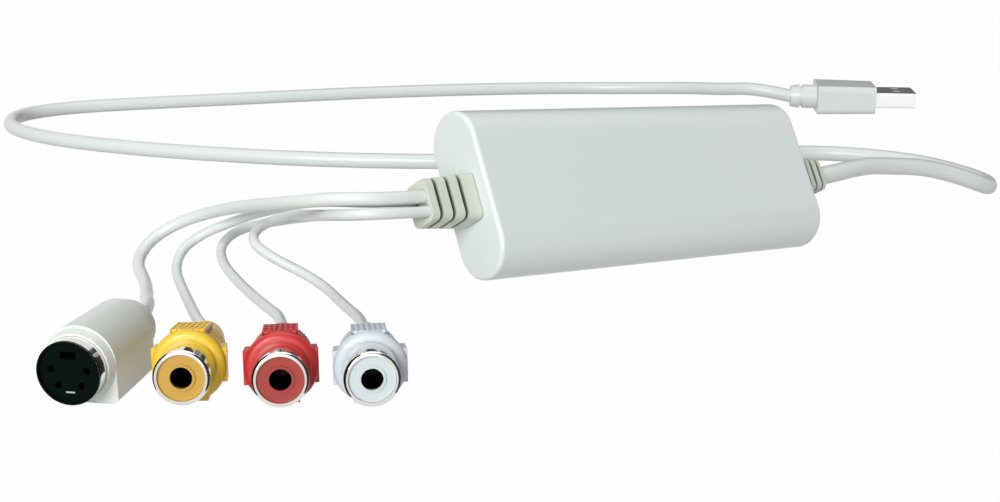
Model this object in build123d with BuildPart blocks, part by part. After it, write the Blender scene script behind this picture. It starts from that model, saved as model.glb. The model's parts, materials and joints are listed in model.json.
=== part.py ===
from build123d import *
from math import cos, pi, radians, sin, tan
import os

os.makedirs("parts", exist_ok=True)

# A video capture box: a white obround case with four short jack leads at one end
# and a USB cable at the other. All lengths are in millimetres.
# The case leans back on its long rounded edge, as it is set down in use, with the
# jacks and the USB plug lying on the same surface. +Z is up, +X runs along the case
# towards the USB end, and the origin is on the surface under the middle of the case.

# Shared fits
overrun = 1.0
push_fit = 0.10
slide_fit = 0.15
mould_fit = 0.03

# Case
case_length = 81.5
case_width = 30.5
case_thickness = 12.7
case_wall = 1.5
cap_plate = 1.8
cap_edge_round = 0.8
spigot_length = 4.0
spigot_wall = 1.0
lean_back = 31.9
pitch_up = 5.5

# Strain reliefs: height by thickness at the case, and at the outer end
relief_drop = 1.0
relief_corner = 1.3
relief_base_block = 2.9
relief_groove = 0.75
relief_groove_depth = 0.9
relief_grooves = 3
relief_neck_height = 6.4
relief_neck_thickness = 5.0
relief_neck_corner = 0.8
flange_height = 10.0
flange_thickness = 6.6
flange_plate = 1.2
breakout_relief_length = 10.0
breakout_relief_base = (8.5, 7.0)
breakout_relief_tip = (7.4, 6.2)
breakout_groove_pitch = 2.5
usb_relief_length = 8.4
usb_relief_base = (8.0, 6.8)
usb_relief_tip = (6.6, 5.8)
usb_groove_pitch = 2.0

# Circuit board and what it carries
board_end_room = 4.2
board_length = case_length - 2 * (cap_plate + board_end_room)
board_edge_room = 1.55
board_width = case_width - 2 * (case_wall + board_edge_room)
board_thickness = 1.2
board_behind_middle = 2.4
rail_grip = 1.0
rail_thickness = 0.9
chip_pin_height = 0.25
chip_draft = 3
wire_diameter = 0.9

# Leads and the USB cable
rca_lead_diameter = 1.9
svideo_lead_diameter = 2.3
usb_cable_diameter = 3.8
corner_share = 0.45
svideo_outlet_place = (0.8, -1.3)
composite_outlet_place = (1.1, 1.3)
right_audio_outlet_place = (-0.9, 1.3)
left_audio_outlet_place = (-1.9, -1.5)
rca_exit_run = 6.8
svideo_exit_run = 7.5
usb_exit_run = 9.0
svideo_entry_run = 5.0
composite_entry_run = 4.5
right_audio_entry_run = 8.2
left_audio_entry_run = 7.5
usb_entry_run = 10.1

# Phono jacks, measured back from the front rim of the metal barrel
barrel_radius = 4.15
barrel_wall = 0.65
barrel_reach = 6.25
barrel_sunk = 5.0
barrel_seat_gap = 0.2
barrel_stem_step = 0.2
barrel_lip_round = 0.5
insulator_recess = 0.45
contact_bore = 1.65
contact_wall = 0.30
contact_set_back = 0.9
contact_length = 8.0
contact_floor = 0.5
hole_lip_width = 0.35
hole_lip_height = 0.25
shoulder_radius = 5.4
shoulder_length = 1.6
shoulder_round = 1.1
core_front_radius = 5.1
core_back_radius = 4.65
core_end = 9.0
tail_front_radius = 4.3
tail_back_radius = 3.0
jack_body_length = 17.0
pad_start = 1.2
pad_end = 8.0
pad_width = 5.0
pad_front_radius = 5.57
pad_corner = 0.4
jack_draft = 5.0
pad_grooves = 5
pad_groove_width = 0.4
pad_groove_depth = 0.4
composite_heading = 54.5
audio_heading = 59.5
yellow_rim = (-101.8, -13.6)
red_rim = (-90.8, -23.0)
white_rim = (-80.2, -30.9)

# S-video jack, measured back from the front rim of its metal shield
din_shield_radius = 4.95
din_shield_wall = 0.25
din_shield_length = 7.0
din_face_recess = 0.35
din_insert_length = 6.0
din_collar_start = 2.5
din_collar_radius = 5.3
din_body_start = 4.0
din_body_collar_radius = 5.7
din_body_length = 14.8
din_front_half_width = 5.7
din_back_half_width = 5.35
din_body_below = 6.0
din_front_above = 6.1
din_back_above = 5.6
din_body_corner = 1.0
din_tail_length = 4.2
din_tail_radius = 4.4
din_tail_round = 0.9
din_hole_radius = 0.55
din_hole_depth = 4.5
din_upper_hole = (2.8, 0.4)
din_lower_hole = (1.8, -2.0)
din_key_width = 2.4
din_key_height = 1.2
din_key_above = 2.6
din_spring_width = 1.4
din_spring_thickness = 0.25
din_spring_below = 3.05
din_heading = 42.5
din_rim = (-113.7, -1.2)

# USB plug, measured forward from where the cable enters it
usb_entry = (153.8, 99.0)
usb_heading = -43.0
neck_length = 7.5
neck_radius = 3.5
neck_back_radius = 3.1
neck_ring_width = 2.6
neck_waist_radius = 2.9
neck_waist_width = 0.9
grip_length = 17.0
grip_back = (15.5, 8.5)
grip_front = (14.2, 8.0)
grip_corner = 1.6
shell_width = 12.0
shell_height = 4.5
shell_wall = 0.3
shell_reach = 11.75
shell_sunk = 4.0
shell_corner = 0.6
latch_window_width = 2.5
latch_window_length = 2.0
latch_window_from_front = 5.2
latch_window_apart = 5.0
tongue_thickness = 1.84
tongue_set_back = 0.4
contact_strip_width = 1.0
contact_strip_thickness = 0.15
outer_strip_offset = 3.5
inner_strip_offset = 1.0
strip_length = 7.5

# Frame of the case: x along it to the USB end, y up its broad face, z out of that face
along = Vector(cos(radians(pitch_up)), 0, -sin(radians(pitch_up)))
up_face = Vector(
    cos(radians(lean_back)) * sin(radians(pitch_up)),
    sin(radians(lean_back)),
    cos(radians(lean_back)) * cos(radians(pitch_up)),
)
out_of_face = along.cross(up_face)
edge_radius = case_thickness / 2
straight_half = (case_width - case_thickness) / 2
end_half = case_length / 2
lowest_of_plate = end_half * sin(radians(pitch_up)) + (
    straight_half * cos(radians(lean_back)) + edge_radius
) * cos(radians(pitch_up))
# The rounded rim of the end cap lifts the lowest corner by a little
rim_tilt = 90 - pitch_up
rim_lift = cap_edge_round * (sin(radians(pitch_up)) + cos(radians(pitch_up)) - 1)
case_centre = Vector(0, 0, lowest_of_plate - rim_lift)
face = Plane(origin=case_centre, x_dir=along, z_dir=out_of_face)
middle = Plane(origin=case_centre, x_dir=up_face, z_dir=along)


def case_point(lengthwise, upward, outward):
    """A point given in the frame of the case."""
    return face.from_local_coords(Vector(lengthwise, upward, outward))


def turning(front):
    """The plane in which local x is a radius and local y runs forward along the axis."""
    return Plane(origin=front.origin, x_dir=front.x_dir, z_dir=-front.y_dir)


def lying_front(rim, height, heading, draft):
    """The front of a jack that lies on its drafted underside, facing away from its lead."""
    forward = Vector(
        -cos(radians(heading)) * cos(radians(draft)),
        -sin(radians(heading)) * cos(radians(draft)),
        sin(radians(draft)),
    )
    sideways = Vector(0, 0, 1).cross(forward)
    return Plane(origin=(rim[0], rim[1], height), x_dir=sideways, z_dir=forward)


# Case sleeve: a drawn obround tube with two pairs of rails for the board
sleeve_length = case_length - 2 * cap_plate
bore_width = case_width - 2 * case_wall
bore_thickness = case_thickness - 2 * case_wall
rail_length = sleeve_length - 2 * (spigot_length + slide_fit)
board_gap = board_thickness + 2 * push_fit
rail_inner_edge = board_width / 2 - rail_grip
rail_width = bore_width / 2 - rail_inner_edge
with BuildPart() as housing_sleeve:
    with BuildSketch(middle.offset(-sleeve_length / 2)):
        SlotOverall(case_width, case_thickness)
        SlotOverall(bore_width, bore_thickness, mode=Mode.SUBTRACT)
    extrude(amount=sleeve_length)
    with BuildSketch(middle.offset(-rail_length / 2)):
        for side in (-1, 1):
            for face_side in (-1, 1):
                rail_middle = -board_behind_middle + face_side * (board_gap + rail_thickness) / 2
                with Locations((side * (rail_inner_edge + rail_width / 2), rail_middle)):
                    Rectangle(rail_width, rail_thickness)
        SlotOverall(case_width - case_wall, case_thickness - case_wall, mode=Mode.INTERSECT)
    extrude(amount=rail_length)
housing_sleeve.part.label = "housing_sleeve"

# End caps: a plate flush with the sleeve, a hollow spigot inside it and a relief hole
spigot_width = bore_width - 2 * push_fit
spigot_thickness = bore_thickness - 2 * push_fit


def end_cap(side):
    """The cap at one end: side is -1 for the breakout end and 1 for the USB end."""
    outside = Plane(origin=case_point(side * end_half, 0, 0), x_dir=up_face, z_dir=along * -side)
    with BuildPart() as cap:
        with BuildSketch(outside):
            SlotOverall(case_width, case_thickness)
        extrude(amount=cap_plate)
        rim = cap.faces().sort_by(Axis(outside.origin, outside.z_dir))[0].edges()
        fillet(rim, cap_edge_round)
        with BuildSketch(outside.offset(cap_plate)):
            SlotOverall(spigot_width, spigot_thickness)
            SlotOverall(
                spigot_width - 2 * spigot_wall,
                spigot_thickness - 2 * spigot_wall,
                mode=Mode.SUBTRACT,
            )
        extrude(amount=spigot_length)
        with BuildSketch(outside.offset(-overrun)):
            with Locations((-relief_drop, 0)):
                RectangleRounded(
                    relief_neck_height + 2 * push_fit,
                    relief_neck_thickness + 2 * push_fit,
                    relief_neck_corner,
                )
        extrude(amount=cap_plate + 2 * overrun, mode=Mode.SUBTRACT)
    return cap


breakout_end_cap = end_cap(-1)
breakout_end_cap.part.label = "breakout_end_cap"
usb_end_cap = end_cap(1)
usb_end_cap.part.label = "usb_end_cap"


# Strain reliefs: a tapered ribbed block outside the cap, a neck through it and a flange inside
def strain_relief(side, length, base, tip, groove_pitch):
    """The ribbed relief at one end of the case."""
    seat = Plane(
        origin=case_point(side * end_half, -relief_drop, 0), x_dir=up_face, z_dir=along * side
    )
    with BuildPart() as relief:
        with BuildSketch(seat):
            RectangleRounded(base[0], base[1], relief_corner)
        with BuildSketch(seat.offset(length)):
            RectangleRounded(tip[0], tip[1], relief_corner)
        loft()
        for groove in range(relief_grooves):
            start = relief_base_block + groove * groove_pitch
            share = (start + relief_groove / 2) / length
            height = base[0] + (tip[0] - base[0]) * share
            thickness = base[1] + (tip[1] - base[1]) * share
            with BuildSketch(seat.offset(start)):
                Rectangle(height + 2 * overrun, thickness + 2 * overrun)
                RectangleRounded(
                    height - 2 * relief_groove_depth,
                    thickness - 2 * relief_groove_depth,
                    relief_corner - relief_groove_depth / 2,
                    mode=Mode.SUBTRACT,
                )
            extrude(amount=relief_groove, mode=Mode.SUBTRACT)
        with BuildSketch(seat):
            RectangleRounded(relief_neck_height, relief_neck_thickness, relief_neck_corner)
        extrude(amount=-cap_plate)
        with BuildSketch(seat.offset(-cap_plate)):
            RectangleRounded(flange_height, flange_thickness, relief_corner)
        extrude(amount=-flange_plate)
    return relief


breakout_strain_relief = strain_relief(
    -1, breakout_relief_length, breakout_relief_base, breakout_relief_tip, breakout_groove_pitch
)
breakout_strain_relief.part.label = "breakout_strain_relief"
usb_strain_relief = strain_relief(
    1, usb_relief_length, usb_relief_base, usb_relief_tip, usb_groove_pitch
)
usb_strain_relief.part.label = "usb_strain_relief"

# Circuit board, held by its long edges in the rails
board_face = face.offset(-board_behind_middle + board_thickness / 2)
board_back = face.offset(-board_behind_middle - board_thickness / 2)
with BuildPart() as circuit_board:
    with BuildSketch(board_back):
        Rectangle(board_length, board_width)
    extrude(amount=board_thickness)
circuit_board.part.label = "circuit_board"


def on_board(*shares):
    """Places on the board, from pairs of shares of its length and width."""
    return [(share[0] * board_length, share[1] * board_width) for share in shares]


def gull_chip(place, body_length, body_width, body_height, pins, pitch, all_round, reach, pin_width):
    """A moulded chip on the board's face, with flat pins along two or four of its sides."""
    with BuildPart() as chip:
        with BuildSketch(board_face.offset(chip_pin_height)):
            with Locations(place):
                Rectangle(body_length, body_width)
        extrude(amount=body_height, taper=chip_draft)
        with BuildSketch(board_face):
            with Locations(place):
                with GridLocations(pitch, body_width + reach, pins, 2):
                    Rectangle(pin_width, reach * 2)
                if all_round:
                    with GridLocations(body_length + reach, pitch, 2, pins):
                        Rectangle(reach * 2, pin_width)
        extrude(amount=2 * chip_pin_height)
    return chip


# Main chips
decoder_shares = (-0.173, 0.0)
decoder_side = 10.0
decoder_pin_count = 12
bridge_shares = (0.202, 0.02)
bridge_side = 12.0
bridge_pin_count = 14
codec_shares = (-0.338, 0.31)
codec_length = 6.5
codec_width = 4.4
codec_pin_count = 8
memory_shares = (0.396, 0.254)
memory_length = 4.9
memory_width = 3.9
memory_pin_count = 4
large_chip_height = 1.4
small_chip_height = 1.0
fine_pitch = 0.7
coarse_pitch = 1.2
pin_reach = 0.8
fine_pin_width = 0.3
coarse_pin_width = 0.4
video_decoder_chip = gull_chip(
    on_board(decoder_shares)[0],
    decoder_side,
    decoder_side,
    large_chip_height,
    decoder_pin_count,
    fine_pitch,
    True,
    pin_reach,
    fine_pin_width,
)
video_decoder_chip.part.label = "video_decoder_chip"
usb_bridge_chip = gull_chip(
    on_board(bridge_shares)[0],
    bridge_side,
    bridge_side,
    large_chip_height,
    bridge_pin_count,
    fine_pitch,
    True,
    pin_reach,
    fine_pin_width,
)
usb_bridge_chip.part.label = "usb_bridge_chip"
audio_codec_chip = gull_chip(
    on_board(codec_shares)[0],
    codec_length,
    codec_width,
    small_chip_height,
    codec_pin_count,
    fine_pitch,
    False,
    pin_reach,
    fine_pin_width,
)
audio_codec_chip.part.label = "audio_codec_chip"
config_memory_chip = gull_chip(
    on_board(memory_shares)[0],
    memory_length,
    memory_width,
    large_chip_height,
    memory_pin_count,
    coarse_pitch,
    False,
    pin_reach,
    coarse_pin_width,
)
config_memory_chip.part.label = "config_memory_chip"

# Quartz crystals: low metal cans with rounded ends
crystal_shares = [(0.022, -0.344), (0.338, -0.344)]
crystal_length = 9.0
crystal_width = 3.6
crystal_height = 3.2
crystal_edge = 0.4
with BuildPart() as crystals:
    with BuildSketch(board_face):
        with Locations(*on_board(*crystal_shares)):
            SlotOverall(crystal_length, crystal_width)
    extrude(amount=crystal_height)
    chamfer(crystals.faces().group_by(Axis(face.origin, face.z_dir))[-1].edges(), crystal_edge)
crystals.part.label = "crystals"

# Voltage regulators: a body with a wide tab on one side and three pins on the other
regulator_shares = [(-0.036, 0.311), (0.056, 0.311)]
regulator_length = 4.6
regulator_width = 2.6
regulator_height = 1.5
regulator_tab_width = 2.2
regulator_tab_reach = 1.0
regulator_pitch = 1.5
regulator_pin_width = 0.6
with BuildPart() as voltage_regulators:
    with BuildSketch(board_face):
        with Locations(*on_board(*regulator_shares)):
            Rectangle(regulator_length, regulator_width)
    extrude(amount=regulator_height)
    with BuildSketch(board_face):
        with Locations(*on_board(*regulator_shares)):
            with Locations((0, regulator_width / 2)):
                Rectangle(regulator_tab_width, 2 * regulator_tab_reach)
            with Locations((0, -regulator_width / 2)):
                with GridLocations(regulator_pitch, 0, 3, 1):
                    Rectangle(regulator_pin_width, 2 * regulator_tab_reach)
    extrude(amount=chip_pin_height)
voltage_regulators.part.label = "voltage_regulators"

# Electrolytic capacitors: cans on square bases
can_shares = [(-0.285, -0.283), (-0.365, -0.283), (0.345, 0.02)]
can_radius = 2.0
can_height = 3.9
can_base = 4.3
can_base_height = 0.6
with BuildPart() as filter_capacitors:
    with BuildSketch(board_face):
        with Locations(*on_board(*can_shares)):
            Rectangle(can_base, can_base)
    extrude(amount=can_base_height)
    with BuildSketch(board_face.offset(can_base_height)):
        with Locations(*on_board(*can_shares)):
            Circle(can_radius)
    extrude(amount=can_height - can_base_height)
filter_capacitors.part.label = "filter_capacitors"

# Small ceramic parts in two rows beside the chips
ceramic_shares = [(-0.173, 0.37), (0.202, 0.395)]
ceramic_length = 1.6
ceramic_width = 0.8
ceramic_height = 0.8
with BuildPart() as ceramic_capacitors:
    with BuildSketch(board_face):
        with Locations(*on_board(*ceramic_shares)):
            with GridLocations(2 * ceramic_length, 0, 4, 1):
                Rectangle(ceramic_length, ceramic_width)
    extrude(amount=ceramic_height)
ceramic_capacitors.part.label = "ceramic_capacitors"

# Power inductors on the back of the board
inductor_shares = [(-0.086, -0.123), (0.115, 0.164)]
inductor_size = 4.0
inductor_height = 1.5
inductor_corner = 0.9
with BuildPart() as power_inductors:
    with BuildSketch(board_back):
        with Locations(*on_board(*inductor_shares)):
            RectangleRounded(inductor_size, inductor_size, inductor_corner)
    extrude(amount=-inductor_height)
power_inductors.part.label = "power_inductors"

# Wire headers at both ends of the board
header_depth = 4.0
header_height = 3.6
header_wall = 1.0
header_end_gap = 2.4
breakout_wire_count = 6
usb_wire_count = 4
wire_pitch = 1.5
header_place = board_length / 2 - header_end_gap - header_depth / 2
wire_level = header_height / 2


def header(side, wires):
    """The wire header at one end of the board."""
    with BuildPart() as block:
        with BuildSketch(board_face):
            with Locations((side * header_place, -relief_drop)):
                Rectangle(header_depth, (wires - 1) * wire_pitch + 2 * header_wall + wire_diameter)
        extrude(amount=header_height)
    return block


breakout_header = header(-1, breakout_wire_count)
breakout_header.part.label = "breakout_header"
usb_header = header(1, usb_wire_count)
usb_header.part.label = "usb_header"


# Wires from the flange of each strain relief straight to its header
flange_reach = cap_plate + flange_plate
inner_wire_length = end_half - flange_reach - header_place - header_depth / 2


def inner_wires(side, wires):
    """Insulated wires side by side in the height of the header."""
    flange_back = case_point(side * (end_half - flange_reach), -relief_drop, 0)
    with BuildPart() as bundle:
        with BuildSketch(Plane(origin=flange_back, x_dir=up_face, z_dir=along * -side)):
            with GridLocations(wire_pitch, 0, wires, 1):
                Circle(wire_diameter / 2)
        extrude(amount=inner_wire_length)
    return bundle


breakout_inner_wires = inner_wires(-1, breakout_wire_count)
breakout_inner_wires.part.label = "breakout_inner_wires"
usb_inner_wires = inner_wires(1, usb_wire_count)
usb_inner_wires.part.label = "usb_inner_wires"

# Phono jacks: each lies on its drafted pad, so its axis falls towards the lead
pad_slope = tan(radians(jack_draft))
pad_back_radius = pad_front_radius - (pad_end - pad_start) * pad_slope
rim_height = pad_front_radius * cos(radians(jack_draft)) + (
    barrel_reach + pad_start
) * sin(radians(jack_draft))
barrel_length = barrel_reach + barrel_sunk
stem_radius = barrel_radius - barrel_stem_step
socket_radius = stem_radius + mould_fit


def jack_body(front):
    """The moulded grip: shoulder, tapered core, tail and four flat pads round it."""
    body_front = -barrel_reach
    with BuildPart() as body:
        with BuildSketch(turning(front)):
            with BuildLine():
                Polyline(
                    (0, body_front),
                    (shoulder_radius - shoulder_round, body_front),
                )
                RadiusArc(
                    (shoulder_radius - shoulder_round, body_front),
                    (shoulder_radius, body_front - shoulder_round),
                    shoulder_round,
                )
                Polyline(
                    (shoulder_radius, body_front - shoulder_round),
                    (shoulder_radius, body_front - shoulder_length),
                    (core_front_radius, body_front - shoulder_length),
                    (core_back_radius, body_front - core_end),
                    (tail_front_radius, body_front - core_end),
                    (tail_back_radius, body_front - jack_body_length),
                    (0, body_front - jack_body_length),
                    (0, body_front),
                )
            make_face()
        revolve(axis=Axis(front.origin, front.z_dir))
        for quarter in range(4):
            turn = radians(90 * quarter)
            outward = front.x_dir * cos(turn) + front.y_dir * sin(turn)
            pad_plane = Plane(
                origin=front.origin, x_dir=outward, z_dir=outward.cross(front.z_dir)
            )
            with BuildSketch(pad_plane):
                with BuildLine():
                    Polyline(
                        (0, body_front - pad_start),
                        (pad_front_radius - pad_corner, body_front - pad_start),
                        (pad_front_radius - pad_corner * pad_slope, body_front - pad_start - pad_corner),
                        (pad_back_radius, body_front - pad_end),
                        (0, body_front - pad_end),
                        close=True,
                    )
                make_face()
            extrude(amount=pad_width / 2, both=True)
        groove_pitch = pad_width / (pad_grooves + 1)
        groove_floor = pad_front_radius - pad_groove_depth
        for half in (-1, 1):
            with BuildSketch(front.offset(body_front - pad_start + overrun)):
                with Locations((0, half * (groove_floor + overrun))):
                    with GridLocations(groove_pitch, 0, pad_grooves, 1):
                        Rectangle(pad_groove_width, 2 * overrun)
            extrude(amount=-(pad_end - pad_start) / 2 - overrun, mode=Mode.SUBTRACT)
        with BuildSketch(front.offset(body_front + overrun)):
            Circle(socket_radius)
        extrude(amount=-(barrel_sunk + overrun), mode=Mode.SUBTRACT)
    return body


def jack_barrel(front):
    """The nickel barrel: a tube with a rounded front rim and a slightly narrower stem."""
    with BuildPart() as barrel:
        with BuildSketch(front.offset(-barrel_length)):
            Circle(stem_radius)
        extrude(amount=barrel_sunk + barrel_seat_gap)
        with BuildSketch(front.offset(barrel_seat_gap - barrel_reach)):
            Circle(barrel_radius)
        extrude(amount=barrel_reach - barrel_seat_gap)
        with BuildSketch(front):
            Circle(barrel_radius - barrel_wall)
        extrude(amount=-barrel_length, mode=Mode.SUBTRACT)
        front_edges = barrel.faces().sort_by(Axis(front.origin, front.z_dir))[-1].edges()
        fillet(front_edges.sort_by(SortBy.RADIUS)[-1], barrel_lip_round)
    return barrel


def jack_insulator(front):
    """The coloured insert in the barrel, with a raised lip round the pin hole."""
    insert_radius = barrel_radius - barrel_wall - mould_fit
    seat_radius = contact_bore + contact_wall + mould_fit
    with BuildPart() as insulator:
        with BuildSketch(front.offset(-barrel_length)):
            Circle(insert_radius)
        extrude(amount=barrel_length - insulator_recess)
        with BuildSketch(front.offset(-insulator_recess)):
            Circle(contact_bore + hole_lip_width)
        extrude(amount=hole_lip_height)
        with BuildSketch(front.offset(overrun)):
            Circle(contact_bore)
        extrude(amount=-(contact_set_back + 2 * overrun), mode=Mode.SUBTRACT)
        with BuildSketch(front.offset(-contact_set_back)):
            Circle(seat_radius)
        extrude(amount=-contact_length, mode=Mode.SUBTRACT)
    return insulator


def jack_contact(front):
    """The dark centre contact, a closed tube that the plug's pin enters."""
    with BuildPart() as contact:
        with BuildSketch(front.offset(-contact_set_back)):
            Circle(contact_bore + contact_wall)
        extrude(amount=-contact_length)
        with BuildSketch(front.offset(-contact_set_back)):
            Circle(contact_bore)
        extrude(amount=contact_floor - contact_length, mode=Mode.SUBTRACT)
    return contact


phono_jacks = {
    "composite_jack": lying_front(yellow_rim, rim_height, composite_heading, jack_draft),
    "right_audio_jack": lying_front(red_rim, rim_height, audio_heading, jack_draft),
    "left_audio_jack": lying_front(white_rim, rim_height, audio_heading, jack_draft),
}
jack_makers = {
    "body": jack_body,
    "barrel": jack_barrel,
    "insulator": jack_insulator,
    "contact": jack_contact,
}
jack_pieces = []
for jack_name, jack_front in phono_jacks.items():
    for piece_name, make_piece in jack_makers.items():
        piece = make_piece(jack_front)
        piece.part.label = jack_name + "_" + piece_name
        jack_pieces.append(piece)

# S-video jack: a block with a round top and a flat foot, a round tail and a mini-DIN socket
din_front = lying_front(din_rim, din_body_below, din_heading, 0)
din_body_end = din_body_start + din_body_length
din_end = din_body_end + din_tail_length
shield_seat = din_shield_radius + mould_fit
din_body_sections = (
    (din_body_start, din_front_half_width, din_front_above),
    (din_body_end, din_back_half_width, din_back_above),
)
with BuildPart() as svideo_jack_body:
    for setback, half_width, above in din_body_sections:
        with BuildSketch(din_front.offset(-setback)):
            with BuildLine():
                FilletPolyline(
                    (-half_width, above - half_width),
                    (-half_width, -din_body_below),
                    (half_width, -din_body_below),
                    (half_width, above - half_width),
                    radius=din_body_corner,
                )
                ThreePointArc(
                    (half_width, above - half_width), (0, above), (-half_width, above - half_width)
                )
            make_face()
    loft()
    with BuildSketch(turning(din_front)):
        with BuildLine():
            Polyline(
                (0, -din_body_end),
                (din_tail_radius, -din_body_end),
                (din_tail_radius, din_tail_round - din_end),
            )
            RadiusArc(
                (din_tail_radius, din_tail_round - din_end),
                (din_tail_radius - din_tail_round, -din_end),
                din_tail_round,
            )
            Polyline((din_tail_radius - din_tail_round, -din_end), (0, -din_end), (0, -din_body_end))
        make_face()
    revolve(axis=Axis(din_front.origin, din_front.z_dir))
    with BuildSketch(din_front.offset(-din_body_start)):
        Circle(din_body_collar_radius)
    with BuildSketch(din_front.offset(-din_collar_start)):
        Circle(din_collar_radius)
    loft()
    with BuildSketch(din_front):
        Circle(shield_seat)
    extrude(amount=-din_shield_length, mode=Mode.SUBTRACT)
svideo_jack_body.part.label = "svideo_jack_body"

with BuildPart() as svideo_jack_shield:
    with BuildSketch(din_front.offset(-din_shield_length)):
        Circle(din_shield_radius)
        Circle(din_shield_radius - din_shield_wall, mode=Mode.SUBTRACT)
    extrude(amount=din_shield_length)
svideo_jack_shield.part.label = "svideo_jack_shield"

# A key hole at the top, two pairs of pin holes below it and a slot for the earth spring
din_hole_places = [
    (side * across, height)
    for across, height in (din_upper_hole, din_lower_hole)
    for side in (-1, 1)
]
din_insert_radius = din_shield_radius - din_shield_wall - mould_fit
with BuildPart() as svideo_jack_insulator:
    with BuildSketch(din_front.offset(-din_face_recess)):
        Circle(din_insert_radius)
        with Locations(*din_hole_places):
            Circle(din_hole_radius, mode=Mode.SUBTRACT)
        with Locations((0, din_key_above)):
            Rectangle(din_key_width, din_key_height, mode=Mode.SUBTRACT)
        with Locations((0, -din_spring_below)):
            Rectangle(
                din_spring_width + 2 * mould_fit,
                din_spring_thickness + 2 * mould_fit,
                mode=Mode.SUBTRACT,
            )
    extrude(amount=-din_hole_depth)
    with BuildSketch(din_front.offset(-din_face_recess - din_hole_depth)):
        Circle(din_insert_radius)
    extrude(amount=-(din_insert_length - din_hole_depth))
svideo_jack_insulator.part.label = "svideo_jack_insulator"

with BuildPart() as svideo_jack_contacts:
    with BuildSketch(din_front.offset(-din_face_recess - din_hole_depth)):
        with Locations(*din_hole_places):
            Circle(din_hole_radius - mould_fit)
            Circle(din_hole_radius / 2, mode=Mode.SUBTRACT)
    extrude(amount=din_hole_depth / 2)
    with BuildSketch(din_front.offset(-din_face_recess - din_hole_depth)):
        with Locations((0, -din_spring_below)):
            Rectangle(din_spring_width, din_spring_thickness)
    extrude(amount=din_hole_depth)
svideo_jack_contacts.part.label = "svideo_jack_contacts"

# USB plug: a round neck with a waist, a tapered flat grip, a folded shell and its tongue
grip_half = grip_back[1] / 2
usb_ahead = Vector(cos(radians(usb_heading)), sin(radians(usb_heading)), 0)
usb_back = Plane(
    origin=(usb_entry[0], usb_entry[1], grip_half),
    x_dir=Vector(0, 0, 1).cross(usb_ahead),
    z_dir=usb_ahead,
)
grip_end = neck_length + grip_length
plug_end = grip_end + shell_reach
with BuildPart() as usb_plug_overmould:
    with BuildSketch(turning(usb_back)):
        with BuildLine():
            Polyline(
                (0, 0),
                (neck_back_radius, 0),
                (neck_radius, neck_ring_width),
                (neck_waist_radius, neck_ring_width),
                (neck_waist_radius, neck_ring_width + neck_waist_width),
                (neck_radius, neck_ring_width + neck_waist_width),
                (neck_radius, neck_length),
                (0, neck_length),
                close=True,
            )
        make_face()
    revolve(axis=Axis(usb_back.origin, usb_back.z_dir))
    with BuildSketch(usb_back.offset(neck_length)):
        RectangleRounded(grip_back[0], grip_back[1], grip_corner)
    with BuildSketch(usb_back.offset(grip_end)):
        RectangleRounded(grip_front[0], grip_front[1], grip_corner)
    loft()
    with BuildSketch(usb_back.offset(grip_end + overrun)):
        RectangleRounded(
            shell_width + 2 * mould_fit, shell_height + 2 * mould_fit, shell_corner + mould_fit
        )
    extrude(amount=-(shell_sunk + overrun), mode=Mode.SUBTRACT)
usb_plug_overmould.part.label = "usb_plug_overmould"

shell_length = shell_reach + shell_sunk
with BuildPart() as usb_plug_shell:
    with BuildSketch(usb_back.offset(grip_end - shell_sunk)):
        RectangleRounded(shell_width, shell_height, shell_corner)
        RectangleRounded(
            shell_width - 2 * shell_wall,
            shell_height - 2 * shell_wall,
            shell_corner - shell_wall,
            mode=Mode.SUBTRACT,
        )
    extrude(amount=shell_length)
    window_plane = Plane(
        origin=usb_back.offset(plug_end - latch_window_from_front).origin,
        x_dir=usb_back.x_dir,
        z_dir=usb_back.y_dir,
    )
    with BuildSketch(window_plane):
        with GridLocations(latch_window_apart, 0, 2, 1):
            Rectangle(latch_window_width, latch_window_length)
    extrude(amount=shell_height, both=True, mode=Mode.SUBTRACT)
usb_plug_shell.part.label = "usb_plug_shell"

# The tongue fills the lower half of the shell, with its contact strips facing up
tongue_width = shell_width - 2 * shell_wall - 2 * mould_fit
tongue_corner = shell_corner - shell_wall
tongue_drop = shell_height / 2 - shell_wall - mould_fit - tongue_thickness / 2
with BuildPart() as usb_plug_tongue:
    with BuildSketch(usb_back.offset(grip_end - shell_sunk)):
        with Locations((0, -tongue_drop)):
            RectangleRounded(tongue_width, tongue_thickness, tongue_corner)
    extrude(amount=shell_length - tongue_set_back)
    with BuildSketch(usb_back.offset(grip_end - shell_sunk)):
        RectangleRounded(
            tongue_width, shell_height - 2 * shell_wall - 2 * mould_fit, tongue_corner
        )
    extrude(amount=shell_sunk)
usb_plug_tongue.part.label = "usb_plug_tongue"

strip_level = -tongue_drop + tongue_thickness / 2 + contact_strip_thickness / 2
strip_offsets = (-outer_strip_offset, -inner_strip_offset, inner_strip_offset, outer_strip_offset)
with BuildPart() as usb_plug_contacts:
    with BuildSketch(usb_back.offset(plug_end - 3 * tongue_set_back)):
        with Locations(*[(offset, strip_level) for offset in strip_offsets]):
            Rectangle(contact_strip_width, contact_strip_thickness)
    extrude(amount=-strip_length)
usb_plug_contacts.part.label = "usb_plug_contacts"


# Leads and cable: straight runs joined by tangent arcs, each arc as large as its runs allow
def corner_radii(points):
    """The radius of the arc at each corner of a route."""
    radii = []
    for before, corner, after in zip(points, points[1:], points[2:]):
        half_turn = (corner - before).get_angle(after - corner) / 2
        shorter = min((corner - before).length, (after - corner).length)
        radii.append(corner_share * shorter / tan(radians(half_turn)))
    return radii


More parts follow.
